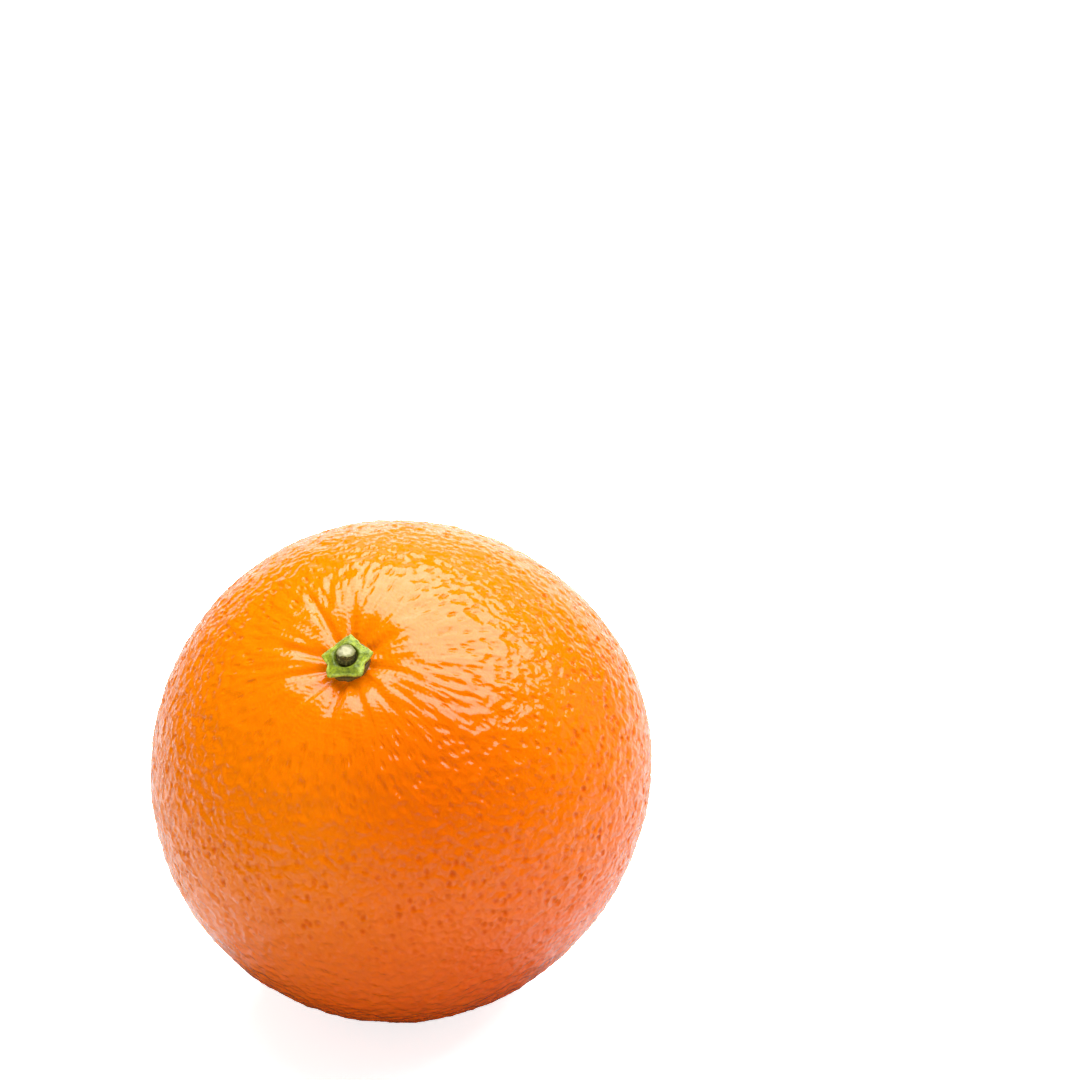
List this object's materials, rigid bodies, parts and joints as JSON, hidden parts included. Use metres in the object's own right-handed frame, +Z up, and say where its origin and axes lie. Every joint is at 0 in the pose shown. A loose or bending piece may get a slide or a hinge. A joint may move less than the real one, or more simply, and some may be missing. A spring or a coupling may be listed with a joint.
{
  "type": "orange",
  "caption": "Whole ripe orange with pitted peel, creases round the stem end, a green star calyx and a cut stem stub, lying on a small flat spot.",
  "frame": {"origin": "centre of the small flat spot on the peel that the fruit rests on", "axes": "+Z up; the stem axis lies in the YZ plane and leans 28 degrees from +Z towards -Y, so the calyx looks up and forward along -Y; +X to the right"},
  "size_m": [0.0758, 0.0752, 0.0727],
  "materials": {
    "peel": "waxy pitted citrus peel, satin gloss, deep orange",
    "calyx": "matt green plant tissue, yellow-green on the sepals, brown-grey on the disc",
    "stem": "dry cut stalk, pale cream on the cut face, olive-brown on the sides"
  },
  "bodies": {
    "root": {"fruit": "peel", "calyx": "calyx", "stem_stub": "stem"}
  },
  "joints": []
}
